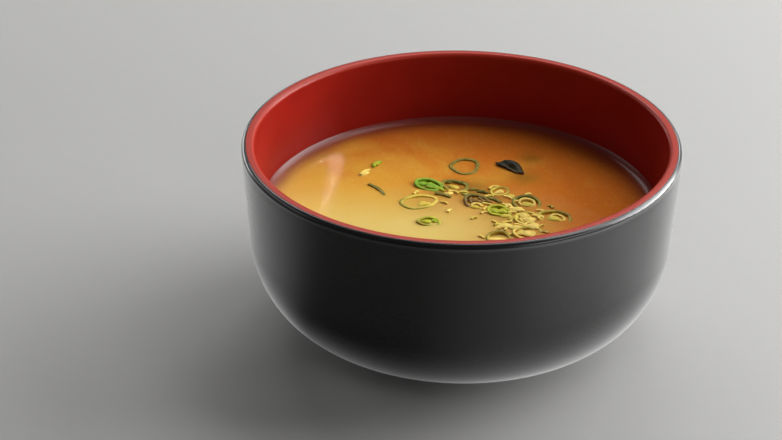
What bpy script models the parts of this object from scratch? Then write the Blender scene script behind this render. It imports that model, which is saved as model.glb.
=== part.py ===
"""A bowl of miso soup: a two-tone lacquer bowl, black outside and red inside, filled with cloudy
miso soup that carries floating slices of green onion and a scrap of wakame.

Metres, +Z up. The origin is the centre of the foot ring's underside, on the table. The bowl and
the soup are turned about Z. Each onion slice is a short tube or a strip of one, and the soup is
cut around everything that floats in it, down to a small gap.
"""

import math

import bmesh
import bpy
from mathutils import Vector

MM = 0.001

# The bowl.
HEIGHT = 60.0 * MM
RIM_RADIUS = 64.0 * MM
WALL = 3.8 * MM
TURN_STEPS = 56

# The wall leans in a little from the rim down to the belly, which is a quarter of an ellipse. It
# runs on until it slopes as gently as the underside does.
BELLY_TOP = 33.0 * MM
BELLY_RADIUS = 62.7 * MM
BELLY_REACH = 20.0 * MM
BELLY_DEPTH = 27.1 * MM
UNDERSIDE_SLOPE = math.radians(12.0)
BELLY_POINTS = 7

# The rim: a rounded lip inside, a flat top, and the black layer's rounded shoulder outside.
LIP_ROUND = 0.8 * MM
SHOULDER_ROUND = 1.5 * MM
RED_EDGE_RADIUS = RIM_RADIUS - SHOULDER_ROUND
RED_FACING = 0.2

# The foot ring and the thickness of the base.
FOOT_RADIUS = 32.0 * MM
FOOT_WIDTH = 3.6 * MM
FOOT_ROUND = 0.7 * MM
RECESS_DEPTH = 2.2 * MM
BASE_WALL = 4.0 * MM
FLOOR_RADIUS = 22.0 * MM

# The soup stands this high over the table. It climbs the wall by a little, over a short way.
GAP = 0.3 * MM
SOUP_LEVEL = 36.3 * MM
MENISCUS_RISE = 1.5 * MM
MENISCUS_REACH = 1.7 * MM
MENISCUS_WIDTH = 6.0 * MM
MENISCUS_POINTS = 5
MENISCUS_SPACING = 1.6

# Green onion slices.
SLICE_WALL = 1.15 * MM
RING_SEGMENTS = 16
STRIP_SEGMENTS = 6
RING_OVAL = 0.05
RING_CORNERS = 0.03
RING_WOBBLE = 1.7
SIDE_LEAN = 0.4

# Closed slices: name, middle (x, y), size across and away, turn in degrees, height of the slice,
# how far its top stands out of the soup, and its lean in degrees. Millimetres.
ONION_RINGS = (
    ("onion_ring_01", (1.4, 26.0), (9.2, 9.8), 20, 1.7, 0.35, 2),
    ("onion_ring_02", (-9.7, 12.9), (7.2, 7.6), 35, 2.6, 1.30, 7),
    ("onion_ring_03", (-1.6, 12.8), (7.6, 7.2), -15, 2.0, 0.70, 5),
    ("onion_ring_04", (4.6, 3.2), (6.8, 9.8), 18, 2.2, 0.90, 6),
    ("onion_ring_05", (12.0, 10.0), (5.4, 6.4), 40, 1.8, 0.60, 4),
    ("onion_ring_06", (11.5, -2.8), (7.4, 7.4), 10, 2.4, 1.10, 6),
    ("onion_ring_07", (20.0, 2.4), (7.6, 8.2), -20, 2.2, 0.90, 6),
    ("onion_ring_08", (19.4, -6.6), (7.6, 8.0), 30, 2.0, 0.80, 5),
    ("onion_ring_09", (28.2, -6.2), (8.8, 9.2), 15, 1.8, 0.60, 4),
    ("onion_ring_10", (19.6, -15.6), (8.2, 8.2), -35, 2.0, 0.80, 5),
    ("onion_ring_11", (11.6, -19.0), (7.2, 7.4), 5, 2.0, 0.80, 5),
    ("onion_ring_12", (-12.2, 2.2), (11.2, 9.0), 25, 1.8, 0.55, 4),
    ("onion_ring_13", (-9.0, -10.0), (6.8, 6.2), -10, 2.2, 0.90, 6),
)

# Strips, each a part of a slice that has come open: name, middle, length, turn in degrees, the
# angle that it bends through in degrees, height, how far its top stands out, and its lean.
ONION_STRIPS = (
    ("onion_strip_01", (-4.9, 7.4), 5.4, -24, 50, 1.8, 0.60, 5),
    ("onion_strip_02", (10.7, 4.7), 5.0, -40, 40, 1.8, 0.60, 4),
    ("onion_strip_03", (-24.4, 10.2), 8.6, -52, 35, 1.5, 0.45, 5),
    ("onion_strip_04", (-27.0, 26.6), 4.6, 60, 85, 2.0, 0.80, 6),
    ("onion_strip_05", (-30.2, 21.0), 5.0, 55, 60, 1.7, 0.55, 5),
)

# The wakame: a small scrap of leaf, gathered in folds at its broad end.
WAKAME_PLACE = (15.9, 24.4)
WAKAME_LENGTH = 10.5 * MM
WAKAME_WIDTH = 7.6 * MM
WAKAME_THICKNESS = 0.9 * MM
WAKAME_FOLD = 0.75 * MM
WAKAME_FOLDS = 1.5
WAKAME_TURN = -38.0
WAKAME_SINK = 0.1 * MM
WAKAME_ROWS = 8
WAKAME_TAPER_START = 0.12
WAKAME_TAPER_SPAN = 0.80
WAKAME_BROAD_END = 1.05
WAKAME_NARROWING = 0.55
WAKAME_FOLD_START = 1.1
WAKAME_FOLD_FALL = 0.7
WAKAME_WANDER = 0.10
WAKAME_ROOM = 1.5

# Colours, linear red, green and blue, and roughness.
BLACK_LACQUER = (0.012, 0.012, 0.013), 0.38
RED_LACQUER = (0.40, 0.014, 0.009), 0.22
SOUP_FINISH = (0.62, 0.27, 0.055), 0.12
ONION_GREEN = (0.22, 0.33, 0.035), 0.35
ONION_PALE = (0.55, 0.52, 0.16), 0.35
WAKAME_GREEN = (0.010, 0.016, 0.007), 0.30


# Scene helpers.


def clear_scene():
    for obj in list(bpy.data.objects):
        bpy.data.objects.remove(obj)


def new_collection(name):
    collection = bpy.data.collections.new(name)
    bpy.context.scene.collection.children.link(collection)
    return collection


def new_material(name, finish):
    colour, roughness = finish
    material = bpy.data.materials.new(name)
    material.diffuse_color = (*colour, 1.0)
    material.use_nodes = True
    shader = material.node_tree.nodes["Principled BSDF"]
    shader.inputs["Base Color"].default_value = (*colour, 1.0)
    shader.inputs["Roughness"].default_value = roughness
    shader.inputs["Metallic"].default_value = 0.0
    return material


def new_object(name, mesh, collection):
    obj = bpy.data.objects.new(name, mesh)
    collection.objects.link(obj)
    return obj


def hide_cutter(obj):
    obj.hide_render = True
    obj.display_type = "WIRE"


def mesh_from_bmesh(name, bm):
    mesh = bpy.data.meshes.new(name)
    bm.to_mesh(mesh)
    bm.free()
    return mesh


def evaluated_mesh(obj):
    bpy.context.view_layer.update()
    graph = bpy.context.evaluated_depsgraph_get()
    return bpy.data.meshes.new_from_object(obj.evaluated_get(graph))


def smooth_by_angle(mesh, degrees):
    mesh.shade_smooth()
    mesh.set_sharp_from_angle(angle=math.radians(degrees))


# Turned shapes. A profile is a list of (radius, height) points, down the outer side.


def arc(middle, reach, depth, start, end, points):
    """Points of an ellipse's arc about middle, from the angle start to end, both included."""
    angles = [start + (end - start) * i / (points - 1) for i in range(points)]
    return [(middle[0] + reach * math.cos(a), middle[1] + depth * math.sin(a)) for a in angles]


def turned(name, profile, collection):
    """An object turned about Z from its profile, which starts and ends on the axis."""
    bm = bmesh.new()
    points = [bm.verts.new((radius, 0.0, height)) for radius, height in profile]
    for above, below in zip(points, points[1:]):
        bm.edges.new((above, below))
    obj = new_object(name, mesh_from_bmesh(name, bm), collection)
    screw = obj.modifiers.new("Screw", "SCREW")
    screw.axis = "Z"
    screw.steps = TURN_STEPS
    screw.render_steps = TURN_STEPS
    screw.use_merge_vertices = True
    screw.merge_threshold = 0.00001
    screw.use_smooth_shade = True
    return obj


def wall_radius(height):
    """The bowl's outer radius on the straight stretch of its wall."""
    lean = (RIM_RADIUS - BELLY_RADIUS) / (HEIGHT - BELLY_TOP)
    return BELLY_RADIUS + lean * (height - BELLY_TOP)


def belly_arc(inset, deepen):
    """The belly from its lower end up to the straight wall, drawn in by inset and deepen."""
    reach = BELLY_REACH - inset
    depth = BELLY_DEPTH - deepen
    lowest = -math.atan(depth / (reach * math.tan(UNDERSIDE_SLOPE)))
    middle = (BELLY_RADIUS - BELLY_REACH, BELLY_TOP)
    return arc(middle, reach, depth, lowest, 0.0, BELLY_POINTS)


def down_the_slope(point, radius):
    """Where the underside's slope, from this point, comes to a smaller radius."""
    return (radius, point[1] - (point[0] - radius) * math.tan(UNDERSIDE_SLOPE))


def cavity_points(clearance):
    """The bowl's inside from the floor's middle up to the straight wall, drawn in by clearance."""
    belly = belly_arc(WALL + clearance, BASE_WALL + clearance)
    corner = down_the_slope(belly[0], FLOOR_RADIUS)
    return [(0.0, corner[1]), corner, *belly]


def rim_points():
    """Up over the lip, across the flat top, and down round the shoulder."""
    lip_height = HEIGHT - LIP_ROUND
    lip_radius = wall_radius(lip_height) - WALL + LIP_ROUND
    lip = arc((lip_radius, lip_height), LIP_ROUND, LIP_ROUND, math.pi, math.pi / 2, 4)
    shoulder_middle = (RED_EDGE_RADIUS, HEIGHT - SHOULDER_ROUND)
    shoulder = arc(shoulder_middle, SHOULDER_ROUND, SHOULDER_ROUND, math.pi / 2, 0.0, 5)
    return [*lip, *shoulder]


def foot_points():
    """Down the foot ring's outer side, across its underside, up its inner side and to the axis."""
    inner = FOOT_RADIUS - FOOT_WIDTH
    outer_turn = arc((FOOT_RADIUS - FOOT_ROUND, FOOT_ROUND), FOOT_ROUND, FOOT_ROUND, 0.0, -math.pi / 2, 3)
    inner_turn = arc((inner + FOOT_ROUND, FOOT_ROUND), FOOT_ROUND, FOOT_ROUND, -math.pi / 2, -math.pi, 3)
    recess = [(inner - FOOT_ROUND, RECESS_DEPTH), (0.0, RECESS_DEPTH)]
    return [*outer_turn, *inner_turn, *recess]


def bowl_profile():
    outer_belly = belly_arc(0.0, 0.0)[::-1]
    foot_root = down_the_slope(outer_belly[-1], FOOT_RADIUS)
    return [*cavity_points(0.0), *rim_points(), *outer_belly, foot_root, *foot_points()]


def make_bowl(collection, black, red):
    """One solid in two colours: every face inside the black shoulder's edge that looks up or in
    is red."""
    guide = turned("bowl_guide", bowl_profile(), collection)
    mesh = evaluated_mesh(guide)
    bpy.data.objects.remove(guide)
    mesh.materials.append(black)
    mesh.materials.append(red)
    for face in mesh.polygons:
        radius = math.hypot(face.center.x, face.center.y)
        outward = (face.normal.x * face.center.x + face.normal.y * face.center.y) / radius
        inside = radius < RED_EDGE_RADIUS and face.center.z > FLOOR_RADIUS * math.tan(UNDERSIDE_SLOPE)
        face.material_index = 1 if inside and face.normal.z - outward > RED_FACING else 0
    smooth_by_angle(mesh, 35)
    return new_object("bowl", mesh, collection)


def soup_profile():
    """The level surface, the meniscus that climbs to the wall, and the soup's underside."""
    edge = wall_radius(SOUP_LEVEL) - WALL - GAP
    meniscus = []
    for i in range(MENISCUS_POINTS):
        away = MENISCUS_WIDTH * (1 - i / (MENISCUS_POINTS - 1)) ** MENISCUS_SPACING
        rise = MENISCUS_RISE * math.exp(-away / MENISCUS_REACH)
        meniscus.append((edge - away, SOUP_LEVEL + rise))
    return [(0.0, SOUP_LEVEL), *meniscus, *cavity_points(GAP)[::-1]]


# Green onion.


def slice_outline(across, away, wobble):
    """An uneven oval of unit segments, as a slice of a limp leaf is."""
    points = []
    for i in range(RING_SEGMENTS):
        angle = 2 * math.pi * i / RING_SEGMENTS
        swell = 1 + RING_OVAL * math.sin(2 * angle + wobble)
        swell += RING_CORNERS * math.sin(3 * angle - 2 * wobble)
        points.append((0.5 * across * swell * math.cos(angle), 0.5 * away * swell * math.sin(angle)))
    return points


def strip_outline(length, bend):
    """A run of points along an arc of that length, its middle at the origin."""
    radius = length / bend
    points = []
    for i in range(STRIP_SEGMENTS + 1):
        angle = bend * (i / STRIP_SEGMENTS - 0.5)
        points.append((radius * math.sin(angle), radius * (math.cos(angle) - 1)))
    return points


def band(name, outline, closed, height, wall, collection):
    """A standing band along the outline, given its wall by Solidify."""
    bm = bmesh.new()
    feet = [bm.verts.new((x, y, -height / 2)) for x, y in outline]
    pairs = list(zip(feet, feet[1:]))
    if closed:
        pairs.append((feet[-1], feet[0]))
    edges = [bm.edges.new(pair) for pair in pairs]
    raised = bmesh.ops.extrude_edge_only(bm, edges=edges)["geom"]
    top = [item for item in raised if isinstance(item, bmesh.types.BMVert)]
    bmesh.ops.translate(bm, verts=top, vec=(0.0, 0.0, height))
    bmesh.ops.recalc_face_normals(bm, faces=bm.faces)
    obj = new_object(name, mesh_from_bmesh(name, bm), collection)
    solidify = obj.modifiers.new("Wall", "SOLIDIFY")
    solidify.thickness = wall
    solidify.offset = 0.0
    solidify.use_even_offset = True
    return obj


def place(obj, middle, top, height, turn, lean):
    """Stands a band at its place, its middle so high that its top is at top, leaning to one side."""
    obj.rotation_euler = (math.radians(lean), math.radians(SIDE_LEAN * lean), math.radians(turn))
    obj.location = (middle[0] * MM, middle[1] * MM, top - height / 2)


def onion_slice(name, outline, closed, middle, turn, height, proud, lean, finish, collections):
    """One slice, and the cutter that makes room for it in the soup."""
    parts, cutters = collections
    height = height * MM
    top = SOUP_LEVEL + proud * MM
    piece = band(name, outline, closed, height, SLICE_WALL, parts)
    place(piece, middle, top, height, turn, lean)
    piece.data.materials.append(finish)
    smooth_by_angle(piece.data, 40)

    if not closed:
        outline = lengthened(outline, GAP)
    cutter = band(name + "_room", outline, closed, height + 2 * GAP, SLICE_WALL + 2 * GAP, cutters)
    place(cutter, middle, top + GAP, height + 2 * GAP, turn, lean)
    hide_cutter(cutter)
    return cutter


def lengthened(outline, more):
    """The same run of points with both ends moved outwards."""
    ends = []
    for end, beside in ((outline[0], outline[1]), (outline[-1], outline[-2])):
        along = (Vector(end) - Vector(beside)).normalized() * more
        ends.append((end[0] + along.x, end[1] + along.y))
    return [ends[0], *outline[1:-1], ends[1]]


def make_onions(collections, green, pale):
    cutters = []
    for number, (name, middle, size, turn, height, proud, lean) in enumerate(ONION_RINGS):
        outline = slice_outline(
            size[0] * MM - SLICE_WALL, size[1] * MM - SLICE_WALL, RING_WOBBLE * number
        )
        finish = pale if number % 3 == 2 else green
        cutters.append(
            onion_slice(name, outline, True, middle, turn, height, proud, lean, finish, collections)
        )
    for name, middle, length, turn, bend, height, proud, lean in ONION_STRIPS:
        outline = strip_outline(length * MM, math.radians(bend))
        cutters.append(
            onion_slice(name, outline, False, middle, turn, height, proud, lean, green, collections)
        )
    return cutters


# Wakame.


def leaf(name, thickness, spread, collection):
    """A tapering, folded leaf: a grid whose rows narrow to the tip, given its thickness. Its
    outline is moved outwards by spread."""
    length, width = WAKAME_LENGTH, WAKAME_WIDTH
    bm = bmesh.new()
    bmesh.ops.create_grid(bm, x_segments=WAKAME_ROWS, y_segments=WAKAME_ROWS - 2, size=0.5)
    for vertex in bm.verts:
        along = vertex.co.x + 0.5
        across = vertex.co.y
        taper = math.sqrt(math.sin(math.pi * (WAKAME_TAPER_START + WAKAME_TAPER_SPAN * along)))
        taper *= WAKAME_BROAD_END - WAKAME_NARROWING * along
        fold = math.sin(2 * math.pi * WAKAME_FOLDS * across + 2 * along)
        fold *= WAKAME_FOLD_START - WAKAME_FOLD_FALL * along
        wander = WAKAME_WANDER * width
        vertex.co.x = (along - 0.5) * length + wander * math.sin(5 * across + 0.6)
        vertex.co.y = across * width * taper + wander * math.sin(4 * along)
        vertex.co.z = WAKAME_FOLD * fold
    spread_outline(bm, spread)
    bmesh.ops.recalc_face_normals(bm, faces=bm.faces)
    obj = new_object(name, mesh_from_bmesh(name, bm), collection)
    solidify = obj.modifiers.new("Thickness", "SOLIDIFY")
    solidify.thickness = thickness
    solidify.offset = 0.0
    obj.rotation_euler = (0.0, 0.0, math.radians(WAKAME_TURN))
    obj.location = (WAKAME_PLACE[0] * MM, WAKAME_PLACE[1] * MM, SOUP_LEVEL - WAKAME_SINK)
    return obj


def spread_outline(bm, more):
    """Moves the open edge's points outwards, away from the faces beside them."""
    moves = []
    for vertex in (v for v in bm.verts if v.is_boundary):
        faces = vertex.link_faces
        inside = sum((face.calc_center_median() for face in faces), Vector()) / len(faces)
        outward = vertex.co - inside
        outward.z = 0.0
        moves.append((vertex, outward.normalized() * more))
    for vertex, move in moves:
        vertex.co += move


def make_wakame(collections, finish):
    parts, cutters = collections
    piece = leaf("wakame", WAKAME_THICKNESS, 0.0, parts)
    piece.data.materials.append(finish)
    piece.data.shade_smooth()
    cutter = leaf("wakame_room", WAKAME_THICKNESS + 2 * GAP, WAKAME_ROOM * GAP, cutters)
    hide_cutter(cutter)
    return cutter


def make_soup(collection, finish, floating):
    soup = turned("soup", soup_profile(), collection)
    soup.data.materials.append(finish)
    for cutter in floating:
        room = soup.modifiers.new("Room for " + cutter.name, "BOOLEAN")
        room.operation = "DIFFERENCE"
        room.object = cutter
    return soup


def main():
    clear_scene()
    parts = new_collection("miso_soup")
    cutters = new_collection("cutters")
    black = new_material("black_lacquer", BLACK_LACQUER)
    red = new_material("red_lacquer", RED_LACQUER)
    make_bowl(parts, black, red)
    green = new_material("onion_green", ONION_GREEN)
    pale = new_material("onion_pale", ONION_PALE)
    floating = make_onions((parts, cutters), green, pale)
    floating.append(make_wakame((parts, cutters), new_material("wakame", WAKAME_GREEN)))
    make_soup(parts, new_material("miso_soup", SOUP_FINISH), floating)


main()
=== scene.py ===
"""A bowl of miso soup with green onion and wakame.

The bowl is turned in two layers, black outside and red inside. The soup is a turned solid whose
surface climbs the wall and everything that floats in it. Green onion slices, strips and scraps, a
folded leaf of wakame and grains of miso float in it.

Metres, +Z up, in the same frame as the solids. The origin is the centre of the foot ring.
"""

import math
import random

import bpy
from mathutils import Matrix, Vector, kdtree, noise


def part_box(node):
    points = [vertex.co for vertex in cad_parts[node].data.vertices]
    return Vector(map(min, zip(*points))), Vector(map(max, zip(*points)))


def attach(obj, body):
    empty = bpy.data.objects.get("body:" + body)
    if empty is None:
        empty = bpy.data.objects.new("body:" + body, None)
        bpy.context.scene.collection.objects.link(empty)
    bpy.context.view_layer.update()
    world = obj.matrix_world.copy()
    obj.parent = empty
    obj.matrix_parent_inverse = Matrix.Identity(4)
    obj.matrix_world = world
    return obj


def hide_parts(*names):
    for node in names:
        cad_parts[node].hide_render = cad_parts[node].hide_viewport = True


bl_info = {
    "name": "Bowl of Miso Soup",
    "version": (1, 0, 0),
    "blender": (4, 5, 0),
    "location": "3D View > Sidebar > Miso Soup",
    "description": "Builds a lacquer bowl of miso soup with green onion and wakame",
    "category": "Add Mesh",
}

MM = 0.001
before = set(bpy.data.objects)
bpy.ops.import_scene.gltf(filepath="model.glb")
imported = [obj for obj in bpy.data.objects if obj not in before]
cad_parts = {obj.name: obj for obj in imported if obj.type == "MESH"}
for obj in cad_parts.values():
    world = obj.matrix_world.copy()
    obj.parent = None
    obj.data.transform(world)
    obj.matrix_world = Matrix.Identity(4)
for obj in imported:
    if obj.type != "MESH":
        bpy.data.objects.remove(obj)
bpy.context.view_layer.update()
BOWL_LOW, BOWL_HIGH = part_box("bowl")

# The bowl's profile, as in the solid.
BELLY_TOP = 33.0 * MM
BELLY_INSET = 1.3 * MM
BELLY_REACH = 20.0 * MM
BELLY_DEPTH = 27.1 * MM
BASE_WALL = 4.0 * MM
UNDERSIDE_SLOPE = math.radians(12.0)
LIP_ROUND = 1.2 * MM
SHOULDER_ROUND = 1.5 * MM
SEAM_ANGLE = 83.0
FOOT_RADIUS = 32.0 * MM
FOOT_WIDTH = 3.6 * MM
FOOT_ROUND = 0.7 * MM
FOOT_ROOT_ROUND = 1.2 * MM
RECESS_DEPTH = 2.2 * MM
FLOOR_RADIUS = 22.0 * MM
SEAM_ROUND = 0.12 * MM
SEAM_GAP = 0.02 * MM
SEAM_DEPTH = 1.0 * MM
SEAM_SPREAD = 7.0
CORE_TOP = 3.0 * MM
FLOOR_ROUND = 8.0 * MM
RECESS_ROUND = 0.5 * MM
BOWL_STEPS = 256

# The soup's surface.
SOUP_STEPS = 448
WALL_RISE = 2.0 * MM
WALL_REACH = 1.45 * MM
SHORE_RISE = 0.04 * MM
SHORE_REACH = 0.85 * MM
# Painted shade on the broth round everything that floats: how dark, and how far it reaches.
SHORE_SHADE = 0.16
SHORE_SHADE_REACH = 0.9 * MM
MIDDLE_REACH = 4.5 * MM
MIDDLE_STEP = 0.9 * MM
TOPPING_EDGE = 16 * MM
TOPPING_STEP = 0.44 * MM
OPEN_STEP = 0.62 * MM
CLIMB_EDGE = 6.5 * MM
CLIMB_STEPS = 26
CLIMB_CROWDING = 1.35
SOUP_OVERLAP = 0.03 * MM
# How far the dark red edge by the wall reaches in millimetres, and how much that wanders: thin
# broth at the wall and, further out, painted reflection of the red wall.
FILM_AND_REFLECTION_REACH = 4.3
FILM_AND_REFLECTION_WANDER = 0.9
UNDER_GAP = 0.3 * MM

# How far the toppings have drifted from their solids.
DRIFT = Vector((0.0, 1.4 * MM, 0.0))

# Onion slices: the solid's name, size across and away, turn in degrees, height, how far the top
# stands out of the soup, lean in degrees, wall, sizes of the curled leaves inside as shares of the
# slice, the side where the skin is darkest in degrees, then the skin's, the flesh's and the inner
# colour. Lengths in all these tables are in millimetres.
RINGS = (
    ("onion_ring_01", (9.6, 10.6), 20, 1.7, 0.34, 1, 1.20, (), 90, "olive", "olive", "broth"),
    ("onion_ring_02", (8.8, 6.4), -24, 2.4, 0.75, 9, 1.0, (), 250, "leaf", "leaf", "bright"),
    ("onion_ring_03", (8.8, 6.0), -12, 2.0, 0.45, 9, 0.85, (), 80, "dark", "moss", "straw"),
    ("onion_ring_04", (8.2, 7.0), 24, 2.2, 0.50, 10, 0.9, (0.5,), 80, "dark", "rust", "rust"),
    ("onion_ring_05", (6.4, 5.0), 30, 1.8, 0.30, 6, 0.7, (), 60, "moss", "straw", "straw"),
    ("onion_ring_06", (7.2, 5.6), -14, 2.4, 0.70, 8, 0.9, (), 200, "lime", "lime", "bright"),
    ("onion_ring_07", (9.2, 7.6), -16, 2.2, 0.50, 12, 0.8, (0.55,), 95, "dark", "moss", "pale"),
    ("onion_ring_08", (8.2, 6.0), 42, 2.0, 0.40, 8, 0.7, (0.5,), 130, "straw", "pale", "pale"),
    ("onion_ring_09", (9.8, 7.8), -22, 1.8, 0.32, 10, 0.8, (0.5,), 40, "olive", "straw", "pale"),
    ("onion_ring_10", (9.0, 6.4), 32, 2.0, 0.45, 10, 0.75, (), 90, "moss", "pale", "pale"),
    ("onion_ring_11", (8.0, 6.2), -8, 2.0, 0.45, 10, 0.8, (), 90, "olive", "straw", "straw"),
    ("onion_ring_12", (11.8, 8.4), 12, 1.8, 0.34, 2, 1.05, (), 215, "moss", "straw", "pale"),
    ("onion_ring_13", (6.8, 5.0), -6, 2.2, 0.45, 8, 0.9, (), 60, "lime", "moss", "lime"),
)

# Open strips: the solid's name, length, turn, bend in degrees, height, how far it stands out,
# lean, then its two colours.
STRIPS = (
    ("onion_strip_01", 5.4, -24, 50, 1.8, 0.45, 5, "dark", "olive"),
    ("onion_strip_02", 5.0, -40, 40, 1.8, 0.45, 4, "dark", "olive"),
    ("onion_strip_03", 8.6, -52, 35, 1.5, 0.40, 5, "dark", "olive"),
    ("onion_strip_04", 4.6, 60, 85, 2.0, 0.70, 6, "leaf", "bright"),
    ("onion_strip_05", 5.0, 55, 60, 1.7, 0.50, 5, "pale", "pale"),
)
RING_POINTS = 48
BAND_LAYERS = 3
BAND_EDGE = 0.16
STRIP_POINTS = 12
CURL_POINTS = 22
SCRAP_POINTS = 8
SCRAP_HEIGHT = 0.8 * MM
SCRAP_RISE = 0.10 * MM
FLAKE_THICKNESS = 0.9 * MM
FLAKE_SINK = 0.25

# A slice's outline: waves round it as their number, depth and share of the slice's own wobble.
OUTLINE_WAVES = ((2, 0.06, 1), (3, 0.045, -2), (5, 0.018, 3))
OUTLINE_WOBBLE = 1.7

# Scraps of torn inner leaf: place x and y, length, turn and bend in degrees, and colour.
SCRAPS = (
    (8.6, 6.8, 3.2, 20, 60, "straw"),
    (14.6, 6.2, 3.4, -35, 50, "pale"),
    (16.2, 3.4, 2.6, 30, 80, "pale"),
    (7.4, -1.4, 2.6, 70, 40, "straw"),
    (8.2, 1.6, 3.0, -20, 50, "straw"),
    (15.6, -0.4, 3.2, -60, 60, "pale"),
    (15.4, -3.2, 2.8, 15, 90, "pale"),
    (15.2, -6.6, 3.4, -75, 60, "pale"),
    (24.0, -1.8, 3.0, -30, 70, "pale"),
    (13.8, -9.2, 3.6, 25, 80, "straw"),
    (17.6, -10.9, 3.4, -15, 60, "pale"),
    (23.2, -11.8, 3.2, 50, 60, "straw"),
    (10.6, -9.6, 2.6, -50, 50, "straw"),
    (13.6, -13.2, 2.8, 60, 70, "pale"),
    (24.6, -14.6, 3.0, -20, 60, "olive"),
    (15.4, -16.4, 3.4, 10, 60, "straw"),
    (6.6, -18.4, 2.4, -40, 60, "straw"),
    (4.2, -7.2, 2.2, 30, 60, "straw"),
    (-4.6, 2.0, 2.6, -30, 50, "straw"),
    (-3.2, -3.0, 2.2, 60, 70, "pale"),
    (1.0, 9.0, 2.8, -10, 60, "straw"),
    (-13.4, 8.0, 2.4, 50, 60, "straw"),
    (16.7, -1.0, 4.6, -20, 150, "pale"),
    (17.2, -5.0, 4.2, 40, 170, "pale"),
    (23.0, -5.6, 4.0, -50, 140, "pale"),
    (12.4, -10.8, 4.8, -10, 120, "straw"),
    (20.2, -9.6, 4.4, 20, 160, "pale"),
    (5.2, 1.6, 4.6, -15, 150, "pale"),
    (9.8, 12.6, 4.4, 35, 120, "straw"),
    (-1.8, 9.2, 4.2, -20, 130, "straw"),
    (13.8, 0.8, 3.6, -70, 110, "pale"),
    (7.6, -3.4, 3.6, 10, 120, "straw"),
    (20.4, 8.4, 2.2, 20, 70, "pale"),
    (27.2, 0.8, 2.4, -50, 60, "olive"),
)

# Flat flakes of leaf that lie on the soup and in the slices: place x and y, length, width, turn in
# degrees, height over the soup and colour.
FLAKES = (
    (-11.6, 13.9, 4.2, 2.8, 20, 0.35, "leaf"),
    (-8.6, 12.0, 5.0, 3.1, -30, 0.55, "leaf"),
    (-6.0, 10.4, 3.1, 1.7, -40, 0.30, "bright"),
    (-12.8, 15.6, 2.8, 1.9, 10, 0.30, "lime"),
    (9.8, -2.6, 4.0, 2.8, -15, 0.50, "lime"),
    (12.4, -3.2, 4.2, 2.6, 25, 0.55, "lime"),
    (-9.6, -10.0, 3.8, 2.2, 20, 0.35, "lime"),
    (-7.4, -9.6, 2.4, 1.5, -20, 0.30, "bright"),
    (3.8, 4.0, 4.2, 2.2, -10, 0.20, "rust"),
    (8.4, 3.2, 2.9, 1.5, -20, 0.22, "rust"),
    (16.8, -1.6, 5.0, 3.1, 10, 0.30, "pale"),
    (18.6, -5.2, 4.5, 2.8, -25, 0.35, "pale"),
    (16.0, -6.6, 4.0, 2.6, 40, 0.30, "straw"),
    (20.4, -7.8, 4.7, 2.8, 15, 0.35, "pale"),
    (23.4, -5.0, 3.5, 2.4, -35, 0.25, "pale"),
    (13.4, -5.6, 3.5, 2.1, 0, 0.22, "straw"),
    (12.6, -11.8, 6.4, 3.4, 10, 0.25, "pale"),
    (16.6, -13.0, 5.2, 3.2, -20, 0.30, "pale"),
    (19.6, -15.8, 6.2, 3.6, 5, 0.30, "pale"),
    (21.4, -11.4, 5.0, 3.2, 35, 0.30, "pale"),
    (20.4, 2.0, 5.0, 2.8, -15, 0.12, "straw"),
    (27.6, -6.4, 5.2, 3.1, -20, 0.12, "straw"),
    (14.4, 1.2, 3.5, 1.9, -45, 0.20, "pale"),
    (15.2, 7.4, 3.1, 1.7, -35, 0.15, "straw"),
    (11.8, 9.6, 3.8, 2.1, 40, 0.18, "pale"),
    (-1.8, 12.2, 4.2, 2.1, -15, 0.12, "straw"),
    (-3.4, 8.0, 3.5, 1.8, 20, 0.12, "pale"),
    (4.6, -0.4, 4.0, 1.9, -20, 0.15, "straw"),
    (-11.0, 1.0, 4.7, 2.6, 15, 0.08, "straw"),
    (-29.6, 19.6, 3.8, 2.0, 50, 0.25, "pale"),
    (-26.4, 26.0, 2.6, 1.9, 40, 0.55, "lime"),
    (11.4, -20.2, 6.2, 3.4, 0, 0.25, "pale"),
    (0.6, 14.6, 4.2, 1.7, -14, 0.40, "dark"),
    (-3.2, 15.0, 3.0, 1.5, 12, 0.35, "olive"),
    (6.6, 9.2, 3.8, 1.6, -20, 0.35, "dark"),
    (4.0, 10.8, 3.4, 1.7, 10, 0.25, "olive"),
    (1.6, 7.4, 3.2, 1.6, -35, 0.20, "moss"),
)

WAKAME_LENGTH = 9.4 * MM
WAKAME_WIDTH = 6.6 * MM
WAKAME_THICKNESS = 0.45 * MM
WAKAME_EDGE = (3.9 * MM, 2.5 * MM)
WAKAME_WANDER = 0.10
WAKAME_RISE = 0.30 * MM
WAKAME_BUMPS = 0.16 * MM
HEAP_HEIGHT = 1.25 * MM
HEAP_PLACE = 0.36
HEAP_REACH = 0.34
FOLD_HEIGHT = 0.24 * MM
WAKAME_SHIFT = Vector((0.8 * MM, 1.8 * MM, 0.0))
WAKAME_TURN = math.radians(-46.0)

GRAIN_COUNT = 110
GRAIN_RADIUS = 0.16 * MM
GRAIN_FIELD = 52 * MM
GRAIN_SINK = 0.07 * MM

# Darker patches in the broth: leaf that lies just under the surface and shows through, and painted
# shade among the floating onion; place x and y, radius and strength.
SUNKEN_AND_SHADE = (
    (21.8, 34.4, 3.4, 0.55),
    (19.6, 20.8, 4.6, 0.55),
    (9.6, 8.0, 5.0, 0.55),
    (2.6, 12.4, 6.0, 0.62),
    (-5.0, 11.6, 5.0, 0.55),
    (15.6, -2.0, 7.5, 0.42),
    (-9.6, 3.6, 7.0, 0.22),
    (16.0, -12.0, 6.5, 0.10),
)


# The sizes and colours that a user would change.


def length(name, description, default):
    return bpy.props.FloatProperty(
        name=name, description=description, default=default, min=0.0, unit="LENGTH", precision=5
    )


def colour(name, description, default):
    return bpy.props.FloatVectorProperty(
        name=name, description=description, default=default, size=3, min=0.0, max=1.0,
        subtype="COLOR",
    )


def number(name, description, default):
    return bpy.props.FloatProperty(name=name, description=description, default=default, min=0.0)


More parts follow.
